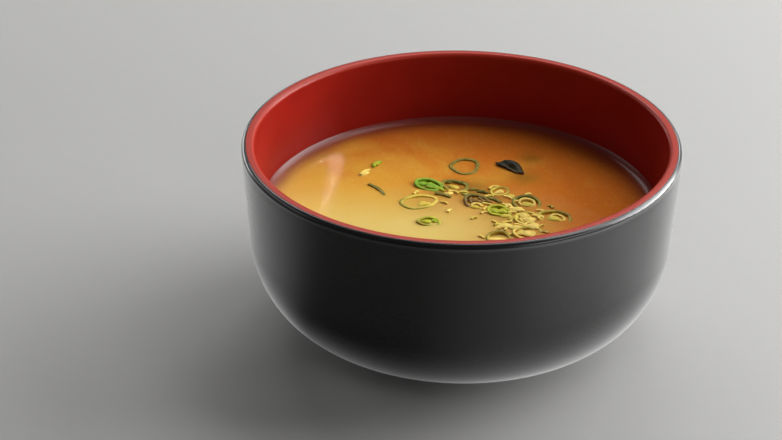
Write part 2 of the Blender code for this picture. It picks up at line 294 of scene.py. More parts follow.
class BowlSettings(bpy.types.PropertyGroup):
    rim_radius: length("Rim radius", "Outer radius at the rim", (BOWL_HIGH.x - BOWL_LOW.x) / 2)
    height: length("Height", "Height from the table to the rim", BOWL_HIGH.z - BOWL_LOW.z)
    wall: length("Wall", "Thickness of the wall", 3.8 * MM)
    outside: colour("Outside", "Black lacquer of the outside", (0.0035, 0.0035, 0.0037))
    inside: colour("Inside", "Red lacquer of the inside", (0.225, 0.0085, 0.0048))


class SoupSettings(bpy.types.PropertyGroup):
    level: length("Level", "Height of the soup over the table", 36.3 * MM)
    # The deep broth colour is partly clearer broth and partly painted shade at the right and the
    # back.
    deep_and_shaded: colour("Deep broth", "Where the broth is clearest", (0.48, 0.125, 0.0135))
    cloudy: colour("Cloudy broth", "Where the miso gathers", (0.55, 0.300, 0.038))
    # The pale broth colour is partly thicker miso and partly painted light and painted reflection
    # at the front and the left.
    pale: colour("Pale broth", "Where the miso is thickest", (0.57, 0.430, 0.125))
    # The edge colour is thin broth right at the wall and, further out, painted reflection of the
    # red wall.
    film_and_reflection: colour("Edge film", "Thin broth over the red wall", (0.150, 0.020, 0.015))
    # The sunken leaf colour also paints shade round and among the floating pieces.
    shade: colour("Sunken leaf", "Leaf that shows through the broth", (0.145, 0.098, 0.011))


class ToppingSettings(bpy.types.PropertyGroup):
    strip_wall: length("Strip wall", "Thickness of an onion strip", 1.10 * MM)
    curl_wall: length("Curl wall", "Thickness of the curled leaves inside a slice", 0.75 * MM)
    leaf: colour("Fresh green", "Skin of the freshest slices", (0.185, 0.34, 0.006))
    lime: colour("Lime green", "Skin of a young slice", (0.42, 0.42, 0.010))
    olive: colour("Olive", "Skin of a cooked slice", (0.190, 0.140, 0.005))
    moss: colour("Moss", "Skin of a pale slice", (0.30, 0.26, 0.018))
    dark: colour("Dark green", "Skin of an old leaf", (0.098, 0.098, 0.004))
    rust: colour("Rust", "Skin soaked in the broth", (0.200, 0.098, 0.018))
    straw: colour("Straw", "Yellow inner layer", (0.63, 0.47, 0.055))
    pale: colour("Pale", "White inner layer", (0.82, 0.585, 0.135))
    bright: colour("Yellow green", "Inner layer of a fresh slice", (0.32, 0.42, 0.010))
    broth: colour("Soaked", "Inner layer full of broth", (0.38, 0.21, 0.022))
    wakame: colour("Wakame", "The seaweed", (0.0095, 0.0105, 0.0045))
    wakame_thin: colour("Thin wakame", "The seaweed's thin edge", (0.055, 0.034, 0.008))


class StageSettings(bpy.types.PropertyGroup):
    floor: colour("Floor", "The pale floor", (0.28, 0.277, 0.270))
    lights: number("Lights", "Strength of all the soft panels", 1.08)
    glow: number("Floor glow", "How brightly the floor beside the bowl shows in its gloss", 1.0)
    ambient: number("Ambient", "Strength of the even light", 0.075)


SETTINGS = {
    "miso_bowl": BowlSettings,
    "miso_soup": SoupSettings,
    "miso_toppings": ToppingSettings,
    "miso_stage": StageSettings,
}


# Modelling by hand, in code.


def select_only(*objects):
    """Selects these alone, the first of them active."""
    bpy.ops.object.select_all(action="DESELECT")
    for obj in objects:
        obj.select_set(True)
    if objects:
        bpy.context.view_layer.objects.active = objects[0]


def active_named(name):
    """The active object, it and its mesh given the name."""
    obj = bpy.context.active_object
    obj.name = name
    obj.data.name = name
    return obj


def flat_turn(degrees):
    """A turn about Z."""
    return Matrix.Rotation(math.radians(degrees), 3, "Z")


def start_at(name, first):
    """A new mesh of one vertex, left in edit mode with that vertex selected."""
    select_only()
    bpy.ops.mesh.primitive_plane_add(size=MM)
    obj = active_named(name)
    bpy.ops.object.mode_set(mode="EDIT")
    bpy.ops.mesh.select_mode(type="VERT")
    bpy.ops.mesh.select_all(action="SELECT")
    bpy.ops.mesh.merge(type="CENTER")
    bpy.ops.transform.translate(value=first)
    return obj


def trace(points):
    """Draws the vertex on along the points, from the first, where it is."""
    for here, there in zip(points, points[1:]):
        bpy.ops.mesh.extrude_vertices_move(TRANSFORM_OT_translate={"value": there - here})


def turned(name, profile, steps):
    """A closed solid turned about Z from a profile that starts and ends on the axis."""
    points = [Vector((radius, 0.0, height)) for radius, height in profile]
    obj = start_at(name, points[0])
    trace(points)
    bpy.ops.mesh.select_all(action="SELECT")
    bpy.ops.mesh.spin(steps=steps, angle=math.tau, center=(0, 0, 0), axis=(0, 0, 1))
    tidy_mesh(0.0005 * MM)
    return obj


def tidy_mesh(within):
    """Merges what meets, turns the faces outwards and leaves edit mode."""
    bpy.ops.mesh.select_all(action="SELECT")
    bpy.ops.mesh.remove_doubles(threshold=within)
    bpy.ops.mesh.normals_make_consistent(inside=False)
    bpy.ops.object.mode_set(mode="OBJECT")


def apply_modifiers(obj):
    select_only(obj)
    for name in [modifier.name for modifier in obj.modifiers]:
        bpy.ops.object.modifier_apply(modifier=name)


def settle(obj):
    """Puts the object's place and turn into its mesh, so that it sits at the origin."""
    select_only(obj)
    bpy.ops.object.transform_apply(location=True, rotation=True, scale=True)


def finish_piece(obj, material, slot, *replaced, smooth=180.0):
    """Gives a piece its material, its smooth shading and its place in the frame."""
    select_only(obj)
    bpy.ops.object.shade_smooth_by_angle(angle=math.radians(smooth))
    obj.data.materials.clear()
    obj.data.materials.append(material)
    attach(obj, "root")
    if replaced:
        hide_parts(*replaced)


def store_values(obj, name, values):
    layer = obj.data.attributes.new(name, "FLOAT", "POINT")
    layer.data.foreach_set("value", values)


def store_colours(obj, name, colours):
    layer = obj.data.attributes.new(name, "FLOAT_COLOR", "POINT")
    layer.data.foreach_set("color", [part for tint in colours for part in (*tint, 1.0)])


# Profiles, as lists of (radius, height).


def arc(middle, reach, depth, start, end, points):
    """Points of an ellipse's arc about middle, both ends included. Angles in degrees."""
    angles = [math.radians(start + (end - start) * i / (points - 1)) for i in range(points)]
    return [(middle[0] + reach * math.cos(a), middle[1] + depth * math.sin(a)) for a in angles]


def rounded(corners, points=6):
    """A path through the corners, each (radius, height, rounding), its corners rounded off."""
    path = [corners[0][:2]]
    for before, corner, after in zip(corners, corners[1:], corners[2:]):
        here = Vector(corner[:2])
        back = (Vector(before[:2]) - here).normalized()
        ahead = (Vector(after[:2]) - here).normalized()
        if corner[2] == 0.0:
            path.append(tuple(here))
            continue
        half = back.angle(ahead) / 2
        cut = corner[2] / math.tan(half)
        start = here + back * cut
        end = here + ahead * cut
        for i in range(points):
            t = i / (points - 1)
            path.append(tuple(start.lerp(here, t).lerp(here.lerp(end, t), t)))
    path.append(corners[-1][:2])
    return path


def wall_radius(bowl, height):
    """The bowl's outer radius on the straight stretch of its wall."""
    lean = BELLY_INSET / (bowl.height - BELLY_TOP)
    return bowl.rim_radius - BELLY_INSET + lean * (height - BELLY_TOP)


def belly(bowl, inset, deepen, points=26):
    """The belly from the straight wall down to where it runs on as the underside's slope."""
    reach = BELLY_REACH - inset
    depth = BELLY_DEPTH - deepen
    lowest = -math.degrees(math.atan(depth / (reach * math.tan(UNDERSIDE_SLOPE))))
    middle = (bowl.rim_radius - BELLY_INSET - BELLY_REACH, BELLY_TOP)
    return arc(middle, reach, depth, 0.0, lowest, points)


def down_the_slope(point, radius):
    return (radius, point[1] - (point[0] - radius) * math.tan(UNDERSIDE_SLOPE))


def straight_wall(bowl, top, inset, points=6):
    """Down the straight wall from the height top, without its lower end."""
    heights = [top + (BELLY_TOP - top) * i / points for i in range(points)]
    return [(wall_radius(bowl, height) - inset, height) for height in heights]


def inner_floor(bowl, inset, deepen):
    """From the belly's lower end to the axis, along the slope and the flat floor."""
    end = belly(bowl, inset, deepen)[-1]
    corner = down_the_slope(end, FLOOR_RADIUS)
    return rounded([(*end, 0.0), (*corner, FLOOR_ROUND), (0.0, corner[1], 0.0)], 7)[1:]


def core(bowl, shift):
    """The hidden meeting of the two layers, from the axis up to under the rim."""
    inset = bowl.wall / 2 - shift
    deepen = BASE_WALL / 2 - shift
    down = [
        *straight_wall(bowl, bowl.height - CORE_TOP, inset),
        *belly(bowl, inset, deepen, 14),
        *inner_floor(bowl, inset, deepen),
    ]
    return down[::-1]


def shoulder_arc(bowl, start, end, points):
    """Part of the rim's outer rounding. The angle is 90 at its top and 0 at its side."""
    middle = (bowl.rim_radius - SHOULDER_ROUND, bowl.height - SHOULDER_ROUND)
    return arc(middle, SHOULDER_ROUND, SHOULDER_ROUND, start, end, points)


def seam(bowl, shift):
    """The seam on the shoulder: a point inside the wall, and the rounded edge beside the gap."""
    edge = shoulder_arc(bowl, SEAM_ANGLE, 0.0, 2)[0]
    lean = math.radians(SEAM_ANGLE)
    inwards = Vector((-math.cos(lean), -math.sin(lean)))
    along = Vector((math.sin(lean), -math.cos(lean))) * shift
    return Vector(edge) + inwards * SEAM_DEPTH + along, Vector(edge) + along


def outside_profile(bowl):
    """Over the shoulder, down the wall and the belly, round the foot ring, and back inside."""
    top = bowl.height
    shoulder = shoulder_arc(bowl, SEAM_ANGLE - SEAM_SPREAD, 0.0, 10)
    outer_belly = belly(bowl, 0.0, 0.0, 34)
    root = down_the_slope(outer_belly[-1], FOOT_RADIUS)
    inner = FOOT_RADIUS - FOOT_WIDTH
    buried, edge = seam(bowl, SEAM_GAP)
    return [
        *core(bowl, SEAM_GAP),
        *rounded([(*buried, 0.0), (*edge, SEAM_ROUND), (*shoulder[0], 0.0)])[:-1],
        *shoulder,
        *straight_wall(bowl, top - SHOULDER_ROUND, 0.0, 8)[1:],
        *outer_belly[:-1],
        *rounded(
            [
                (*outer_belly[-1], 0.0),
                (*root, FOOT_ROOT_ROUND),
                (FOOT_RADIUS, 0.0, FOOT_ROUND),
                (inner, 0.0, FOOT_ROUND),
                (inner, RECESS_DEPTH, RECESS_ROUND),
                (0.0, RECESS_DEPTH, 0.0),
            ]
        ),
    ]


def inside_profile(bowl):
    """Over the lip, down the inside to the floor's middle, and back up between the layers."""
    top = bowl.height
    lip_height = top - LIP_ROUND
    lip_radius = wall_radius(bowl, lip_height) - bowl.wall + LIP_ROUND
    lip = arc((lip_radius, lip_height), LIP_ROUND, LIP_ROUND, 90.0, 180.0, 11)
    shoulder = shoulder_arc(bowl, SEAM_ANGLE + SEAM_SPREAD, 90.0, 6)
    buried, edge = seam(bowl, -SEAM_GAP)
    return [
        *core(bowl, -SEAM_GAP),
        *rounded([(*buried, 0.0), (*edge, SEAM_ROUND), (*shoulder[0], 0.0)])[:-1],
        *shoulder,
        *lip,
        *straight_wall(bowl, lip_height, bowl.wall, 8)[1:],
        *belly(bowl, bowl.wall, BASE_WALL, 34),
        *inner_floor(bowl, bowl.wall, BASE_WALL),
    ]


def soup_profile(bowl, level):
    """The surface out to the wall, fine where it climbs, and the underside back to the axis."""
    edge = wall_radius(bowl, level + WALL_RISE) - bowl.wall + SOUP_OVERLAP
    radii = [0.0]
    stretches = (
        (MIDDLE_REACH, MIDDLE_STEP),
        (edge - TOPPING_EDGE, TOPPING_STEP),
        (edge - CLIMB_EDGE, OPEN_STEP),
    )
    for end, step in stretches:
        while radii[-1] < end:
            radii.append(radii[-1] + step)
    left = edge - radii[-1]
    crowded = [(1 - i / CLIMB_STEPS) ** CLIMB_CROWDING for i in range(1, CLIMB_STEPS + 1)]
    radii += [edge - left * share for share in crowded]
    surface = [(r, level + WALL_RISE * math.exp(-(edge - r) / WALL_REACH)) for r in radii]
    inset = bowl.wall + UNDER_GAP
    under = [
        (wall_radius(bowl, level) - inset, level - 1 * MM),
        *belly(bowl, inset, BASE_WALL + UNDER_GAP, 12),
        *inner_floor(bowl, inset, BASE_WALL + UNDER_GAP),
    ]
    return [*surface, *under]


# Onion outlines.


def ring_outline(size, wobble, points):
    """An uneven oval, as a slice of a limp leaf is."""
    outline = []
    for i in range(points):
        angle = math.tau * i / points
        swell = 1
        for count, depth, share in OUTLINE_WAVES:
            swell += depth * math.sin(count * angle + share * wobble)
        x = 0.5 * size[0] * swell * math.cos(angle)
        y = 0.5 * size[1] * swell * math.sin(angle)
        outline.append(Vector((x, y, 0)))
    return outline


def strip_outline(run, bend, points):
    """A run of points along an arc of that length, its middle at the origin."""
    radius = run / bend
    angles = [bend * (i / points - 0.5) for i in range(points + 1)]
    return [Vector((radius * math.sin(a), radius * (math.cos(a) - 1), 0)) for a in angles]


def box_middle(node):
    low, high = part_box(node)
    return (low + high) / 2


def placed(node, height, proud, turn, lean, level):
    """Where a slice stands: its middle over its solid's, its top as far out of the soup."""
    middle = box_middle(node) + DRIFT
    place = Vector((middle.x, middle.y, level + (proud - height / 2) * MM))
    turns = (math.radians(lean), math.radians(0.4 * lean), math.radians(turn))
    return place, turns


def tree_of(points):
    """The points, flattened, in a tree that finds the nearest one."""
    tree = kdtree.KDTree(len(points))
    for index, point in enumerate(points):
        tree.insert((point.x, point.y, 0.0), index)
    tree.balance()
    return tree


def shores():
    """Points round everything that floats, where the soup climbs a little."""
    found = []

    def add(middle, turn, outline):
        spin = flat_turn(turn)
        found.extend(middle + DRIFT + spin @ point for point in outline)

    for index, (node, size, turn, _height, _proud, _lean, wall, *_rest) in enumerate(RINGS):
        for inset in (0.0, 2 * wall):
            across = [(part - inset) * MM for part in size]
            add(box_middle(node), turn, ring_outline(across, OUTLINE_WOBBLE * index, 72))
    for node, run, turn, bend, *_rest in STRIPS:
        add(box_middle(node), turn, strip_outline(run * MM, math.radians(bend), 24))
    for x, y, run, turn, bend, _tint in SCRAPS:
        add(Vector((x, y, 0)) * MM, turn, strip_outline(run * MM, math.radians(bend), 10))
    return tree_of(found + wakame_outline(56))


def wakame_outline(points):
    """The leaf's edge on the soup, as an oval inside its solid's box."""
    middle = box_middle("wakame") + WAKAME_SHIFT
    spin = Matrix.Rotation(WAKAME_TURN, 3, "Z")
    along, across = WAKAME_EDGE
    angles = [math.tau * i / points for i in range(points)]
    return [middle + spin @ Vector((along * math.cos(a), across * math.sin(a), 0)) for a in angles]


# Materials.

# Tints of what lies on and in the surfaces, and how dark their darker patches are; the red rim's
# tint is painted sheen.
BLACK_CLOUDS = (0.0050, 0.0048, 0.0046)
BLACK_DUST = (0.055, 0.053, 0.050)
BLACK_WORN = (0.032, 0.030, 0.028)
RED_CLOUDS = 0.86
RED_DUST = (0.32, 0.04, 0.03)
# Painted sheen: the red rim's top is lighter and oranger, as where it catches the light.
RED_RIM_SHEEN = (0.27, 0.020, 0.010)
FINE_MISO = (0.62, 0.42, 0.12)
LEAF_DARKER = (0.74, 0.76, 0.62)
LEAF_LIGHTER = (0.80, 0.74, 0.30)
GRAIN_PALE = (0.62, 0.40, 0.13)
GRAIN_DARK = (0.30, 0.15, 0.035)
FLOOR_CLOUDS = 0.96
LACQUER_RELIEF = 0.02 * MM


def add_node(tree, kind, inputs=None, **settings):
    """A new node, its settings set and its inputs given values or linked."""
    made = tree.nodes.new(kind)
    for key, value in settings.items():
        setattr(made, key, value)
    for key, value in (inputs or {}).items():
        if isinstance(value, bpy.types.NodeSocket):
            tree.links.new(value, made.inputs[key])
        else:
            made.inputs[key].default_value = value
    return made


def sums(tree, operation, *values, clamp=False):
    """The result of a Math node."""
    inputs = dict(enumerate(values))
    return add_node(tree, "ShaderNodeMath", inputs, operation=operation, use_clamp=clamp).outputs[0]


def product(tree, first, second):
    return sums(tree, "MULTIPLY", first, second)


def scaled(tree, value, scale, start, clamp=False):
    """The value, scaled and added to start."""
    return sums(tree, "MULTIPLY_ADD", value, scale, start, clamp=clamp)


def centred(tree, value):
    """A value from 0 to 1, moved to lie about 0."""
    return sums(tree, "SUBTRACT", value, 0.5)


def blend_colours(tree, factor, first, second, kind="MIX"):
    """The result of a Mix node for colours, each a socket or three numbers."""
    inputs = {0: factor}
    for key, tint in ((6, first), (7, second)):
        inputs[key] = tint if isinstance(tint, bpy.types.NodeSocket) else (*tint, 1.0)
    made = add_node(tree, "ShaderNodeMix", inputs, data_type="RGBA", blend_type=kind)
    return made.outputs[2]


def ramp(tree, value, low, high):
    """Maps the value from low to high onto 0 to 1, smoothly and clamped."""
    inputs = {"Value": value, "From Min": low, "From Max": high}
    made = add_node(tree, "ShaderNodeMapRange", inputs, interpolation_type="SMOOTHSTEP", clamp=True)
    return made.outputs[0]


def attribute(tree, name):
    return add_node(tree, "ShaderNodeAttribute", attribute_name=name)


def object_place(tree):
    return add_node(tree, "ShaderNodeTexCoord").outputs["Object"]


def stretched(tree, place, scale):
    return add_node(tree, "ShaderNodeMapping", {"Vector": place, "Scale": scale}).outputs[0]


def clouds_at(tree, place, scale, detail, **more):
    """The value of a Noise node."""
    inputs = {"Vector": place, "Scale": scale, "Detail": detail, **more}
    return add_node(tree, "ShaderNodeTexNoise", inputs).outputs[0]


def new_group(name, inputs, outputs):
    """A shader node group with float sockets, and its two end nodes."""
    group = bpy.data.node_groups.new(name, "ShaderNodeTree")
    for title, default in inputs.items():
        socket = group.interface.new_socket(title, in_out="INPUT", socket_type="NodeSocketFloat")
        socket.default_value = default
    for title in outputs:
        group.interface.new_socket(title, in_out="OUTPUT", socket_type="NodeSocketFloat")
    start = group.nodes.new("NodeGroupInput")
    end = group.nodes.new("NodeGroupOutput")
    return group, start.outputs, end.inputs


def lacquer_group():
    """Sprayed lacquer: a slow peel, fine wiping lines round the bowl, dust, and rubbed gloss."""
    if "Lacquer surface" in bpy.data.node_groups:
        return bpy.data.node_groups["Lacquer surface"]
    inputs = {"Roughness": 0.3, "Rubbing": 0.06, "Peel": 0.2, "Lines": 0.2, "Dust": 0.1}
    group, given, result = new_group("Lacquer surface", inputs, ("Roughness", "Height", "Worn"))
    place = object_place(group)
    peel = clouds_at(group, place, 260.0, 2.0)
    lines = clouds_at(group, stretched(group, place, (30.0, 30.0, 2600.0)), 1.0, 3.0)
    clouds = clouds_at(group, place, 34.0, 4.0, Roughness=0.62, Distortion=0.4)
    specks = add_node(group, "ShaderNodeTexVoronoi", {"Vector": place, "Scale": 520.0})
    dust = ramp(group, specks.outputs["Distance"], 0.16, 0.05)
    dust = product(group, dust, ramp(group, clouds, 0.48, 0.66))
    dust = product(group, dust, given["Dust"])
    rubbed = scaled(group, clouds, 2.0, -1.0)
    rubbed = scaled(group, rubbed, given["Rubbing"], given["Roughness"])
    scored = product(group, centred(group, lines), given["Lines"])
    rough = scaled(group, scored, 0.35, rubbed)
    rough = scaled(group, dust, 0.30, rough, clamp=True)
    high = product(group, peel, given["Peel"])
    high = scaled(group, scored, 0.25, high)
    high = scaled(group, dust, 0.4, high)
    group.links.new(rough, result["Roughness"])
    group.links.new(high, result["Height"])
    group.links.new(dust, result["Worn"])
    return group


def fibre_group():
    """A leaf's upright fibres and its mottled flesh."""
    if "Leaf fibres" in bpy.data.node_groups:
        return bpy.data.node_groups["Leaf fibres"]
    inputs = {"Fibre size": 1.0, "Mottle size": 1.0}
    group, given, result = new_group("Leaf fibres", inputs, ("Mottle", "Fibre", "Height"))
    place = object_place(group)
    upright = stretched(group, place, (1.0, 1.0, 0.22))
    fibre = clouds_at(group, upright, product(group, given["Fibre size"], 2600.0), 2.0)
    size = product(group, given["Mottle size"], 640.0)
    mottle = clouds_at(group, place, size, 3.0, Roughness=0.6)
    high = scaled(group, fibre, 0.5, mottle)
    group.links.new(ramp(group, mottle, 0.34, 0.66), result["Mottle"])
    group.links.new(ramp(group, fibre, 0.36, 0.64), result["Fibre"])
    group.links.new(high, result["Height"])
    return group


def new_material(name, **constants):
    """A material with its own shader, whose constant sockets are set by name."""
    material = bpy.data.materials.new(name)
    material.use_nodes = True
    shader = material.node_tree.nodes["Principled BSDF"]
    for key, value in constants.items():
        shader.inputs[key.replace("_", " ")].default_value = value
    return material, material.node_tree, shader


def use_group(tree, group, **values):
    made = tree.nodes.new("ShaderNodeGroup")
    made.node_tree = group
    for key, value in values.items():
        made.inputs[key.replace("_", " ")].default_value = value
    return made.outputs


def paint(tree, shader, tint, rough):
    """Links the shader's colour and roughness."""
    tree.links.new(tint, shader.inputs["Base Color"])
    tree.links.new(rough, shader.inputs["Roughness"])


def raise_surface(tree, shader, height, distance, strength=1.0):
    inputs = {"Height": height, "Distance": distance, "Strength": strength}
    bump = add_node(tree, "ShaderNodeBump", inputs)
    tree.links.new(bump.outputs[0], shader.inputs["Normal"])


def polish_rim(tree, shader, bowl, height, most):
    """The rim is touched most, so its lacquer is glossiest there."""
    polish = ramp(tree, height, bowl.height - 2.4 * MM, bowl.height - 1.0 * MM)
    tree.links.new(product(tree, polish, most), shader.inputs["Coat Weight"])


def black_lacquer(bowl):
    material, tree, shader = new_material(
        "Black lacquer", Specular_IOR_Level=0.26, Coat_Roughness=0.20
    )
    surface = use_group(
        tree, lacquer_group(), Roughness=0.28, Rubbing=0.05, Peel=0.20, Lines=0.10, Dust=0.45
    )
    place = object_place(tree)
    height = add_node(tree, "ShaderNodeSeparateXYZ", {0: place}).outputs["Z"]
    patches = clouds_at(tree, place, 90.0, 3.0)
    polish_rim(tree, shader, bowl, height, 0.65)
    foot = ramp(tree, height, 1.4 * MM, 0.2 * MM)
    worn = product(tree, foot, ramp(tree, patches, 0.45, 0.6))
    black = blend_colours(tree, ramp(tree, patches, 0.3, 0.7), bowl.outside, BLACK_CLOUDS)
    black = blend_colours(tree, surface["Worn"], black, BLACK_DUST)
    black = blend_colours(tree, worn, black, BLACK_WORN)
    paint(tree, shader, black, surface["Roughness"])
    raise_surface(tree, shader, surface["Height"], LACQUER_RELIEF)
    return material


def red_lacquer(bowl):
    material, tree, shader = new_material(
        "Red lacquer", Specular_IOR_Level=0.09, Coat_Roughness=0.20
    )
    surface = use_group(
        tree, lacquer_group(), Roughness=0.34, Rubbing=0.05, Peel=0.10, Lines=0.02, Dust=0.1
    )
    place = object_place(tree)
    height = add_node(tree, "ShaderNodeSeparateXYZ", {0: place}).outputs["Z"]
    polish_rim(tree, shader, bowl, height, 0.14)
    clouds = clouds_at(tree, place, 42.0, 3.0)
    darker = [RED_CLOUDS * part for part in bowl.inside]
    red = blend_colours(tree, ramp(tree, clouds, 0.3, 0.7), bowl.inside, darker)
    red = blend_colours(tree, surface["Worn"], red, RED_DUST)
    # Painted sheen: the rim's top is lighter and oranger than the wall, as where it catches the
    # light.
    rim = ramp(tree, height, bowl.height - 1.6 * MM, bowl.height - 0.5 * MM)
    red = blend_colours(tree, rim, red, RED_RIM_SHEEN)
    paint(tree, shader, red, surface["Roughness"])
    raise_surface(tree, shader, surface["Height"], LACQUER_RELIEF)
    return material


def miso_broth(soup):
    """Cloudy broth: drifting miso with painted shade to the right and back and painted light and
    reflection to the front and left, fine grains, a dark red edge at the wall that is thin broth
    and painted reflection of the red wall, and sunken leaf with painted shade round what floats.
    """
    material, tree, shader = new_material(
        "Miso soup", IOR=1.34, Subsurface_Weight=0.25, Subsurface_Scale=3.0 * MM
    )
    shader.inputs["Subsurface Radius"].default_value = (1.0, 0.42, 0.12)
    place = object_place(tree)
    parts = add_node(tree, "ShaderNodeSeparateXYZ", {0: place}).outputs
    drift = clouds_at(tree, place, 46.0, 4.0, Roughness=0.55, Distortion=0.9)
    wander = centred(tree, drift)
    grains = clouds_at(tree, place, 1500.0, 2.0)
    # Deeper and darker towards the right and the back: partly drifting miso, partly painted shade
    # where the right and back walls shade the broth.
    cloud_and_shade = scaled(tree, parts["X"], -9.5, 0.52)
    cloud_and_shade = scaled(tree, parts["Y"], -5.5, cloud_and_shade)
    cloud_and_shade = scaled(tree, wander, 1.3, cloud_and_shade)
    # Painted shade: darker still along the back, under the back wall.
    back = product(tree, ramp(tree, parts["Y"], 26 * MM, 52 * MM), 0.30)
    cloud_and_shade = ramp(tree, sums(tree, "SUBTRACT", cloud_and_shade, back), 0.0, 1.0)
    broth = blend_colours(tree, cloud_and_shade, soup.deep_and_shaded, soup.cloudy)
    # Paler at the front and the left: partly thicker miso, partly painted light and painted
    # reflection where the broth is lit and mirrors the bright room.
    thick_and_painted_light = ramp(tree, scaled(tree, wander, 18 * MM, parts["Y"]), 18 * MM, -16 * MM)
    thick_and_painted_light = product(tree, thick_and_painted_light, ramp(tree, parts["X"], 44 * MM, -14 * MM))
    broth = blend_colours(tree, thick_and_painted_light, broth, soup.pale)
    fine = product(tree, ramp(tree, grains, 0.52, 0.72), 0.16)
    broth = blend_colours(tree, fine, broth, FINE_MISO)
    # Sunken leaf that shows through, and painted shade round and among the floating pieces.
    broth = blend_colours(tree, attribute(tree, "sunken_and_shade").outputs["Fac"], broth, soup.shade)
    # Dark red by the wall: thin broth right at the wall and, further out, painted reflection of the
    # red wall in the climbing edge.
    film_and_reflection = attribute(tree, "film_and_reflection").outputs["Fac"]
    broth = blend_colours(tree, film_and_reflection, broth, soup.film_and_reflection)
    rough = scaled(tree, drift, 0.04, 0.02)
    rough = scaled(tree, ramp(tree, film_and_reflection, 0.66, 0.90), 0.24, rough)
    paint(tree, shader, broth, rough)
    raise_surface(tree, shader, grains, 0.0007 * MM)
    return material


def onion_leaf(name, roughness):
    """Wet onion: the slice's own tint, mottled, with darker fibres."""
    material, tree, shader = new_material(
        name, Subsurface_Weight=0.12, Subsurface_Scale=0.8 * MM, Specular_IOR_Level=0.10
    )
    leaf = use_group(tree, fibre_group(), Fibre_size=1.0, Mottle_size=1.0)
    tint = attribute(tree, "tint").outputs["Color"]
    dark = blend_colours(tree, 1.0, tint, LEAF_DARKER, kind="MULTIPLY")
    light = blend_colours(tree, 0.10, tint, LEAF_LIGHTER)
    mottled = blend_colours(tree, leaf["Mottle"], dark, light)
    mottled = blend_colours(tree, product(tree, leaf["Fibre"], 0.35), mottled, dark)
    paint(tree, shader, mottled, scaled(tree, leaf["Mottle"], 0.14, roughness))
    raise_surface(tree, shader, leaf["Height"], 0.10 * MM, 0.8)
    return material


def wakame_leaf(toppings):
    """Dark seaweed, browner and clearer where it is thin."""
    material, tree, shader = new_material("Wakame", Specular_IOR_Level=0.12)
    leaf = use_group(tree, fibre_group(), Fibre_size=0.5, Mottle_size=0.6)
    thin = attribute(tree, "thin").outputs["Fac"]
    thin = scaled(tree, centred(tree, leaf["Mottle"]), 0.35, thin, clamp=True)
    green = blend_colours(tree, thin, toppings.wakame, toppings.wakame_thin)
    paint(tree, shader, green, scaled(tree, leaf["Fibre"], 0.12, 0.40))
    raise_surface(tree, shader, leaf["Height"], 0.15 * MM, 0.7)
    return material


def miso_grain():
    material, tree, shader = new_material("Miso grain", IOR=1.40)
    spots = clouds_at(tree, object_place(tree), 900.0, 2.0)
    tan = blend_colours(tree, ramp(tree, spots, 0.4, 0.6), GRAIN_PALE, GRAIN_DARK)
    paint(tree, shader, tan, scaled(tree, spots, 0.2, 0.25))
    raise_surface(tree, shader, spots, 0.05 * MM)
    return material


def pale_floor(tint):
    material, tree, shader = new_material("Pale floor", Roughness=0.75)
    darker = [FLOOR_CLOUDS * part for part in tint]
    tone = blend_colours(tree, clouds_at(tree, object_place(tree), 180.0, 4.0), tint, darker)
    tree.links.new(tone, shader.inputs["Base Color"])
    return material


# Pieces.

# Where the noise of each kind of leaf starts.
CURL_SEED = 20
STRIP_SEED = 40
SCRAP_SEED = 80


def onion_material():
    name = "Green onion"
    if name in bpy.data.materials:
        return bpy.data.materials[name]
    return onion_leaf(name, 0.42)


def band(name, outline, closed, height, wall):
    """A standing band drawn along the outline, extruded upwards and given its wall."""
    low = [Vector((point.x, point.y, -height / 2)) for point in outline]
    obj = start_at(name, low[0])
    trace(low)
    bpy.ops.mesh.select_all(action="SELECT")
    if closed:
        bpy.ops.mesh.edge_face_add()
        bpy.ops.mesh.delete(type="ONLY_FACE")
        bpy.ops.mesh.select_all(action="SELECT")
    for _layer in range(BAND_LAYERS):
        step = {"value": (0, 0, height / BAND_LAYERS)}
        bpy.ops.mesh.extrude_edges_move(TRANSFORM_OT_translate=step)
    tidy_mesh(0.001 * MM)
    solidify = obj.modifiers.new("Wall", "SOLIDIFY")
    solidify.thickness = wall
    solidify.offset = 0.0
    solidify.use_even_offset = True
    bevel = obj.modifiers.new("Soft edges", "BEVEL")
    bevel.width = BAND_EDGE * wall
    bevel.segments = 2
    bevel.limit_method = "ANGLE"
    bevel.angle_limit = math.radians(50)
    apply_modifiers(obj)
    return obj


# How a leaf's tint goes from flesh to skin: on the side away from the darkest, and how much more on
# it, how far the dark side reaches over the flesh, and the mottling's strength and scale.
PALE_SIDE = 0.35
DARK_SIDE = 0.75
DARK_SPREAD = 0.9
DARK_START = 0.25
MOTTLING = 0.28
MOTTLE_SCALE = 420.0
# How unevenly a leaf is cut: the wandering of its faces as a share of its wall, its scale, and the
# waves of its edges as a share of its height.
FACE_WANDER = 0.10
FACE_SCALE = 330.0
FACE_SEED = 11
EDGE_WAVES = 0.05


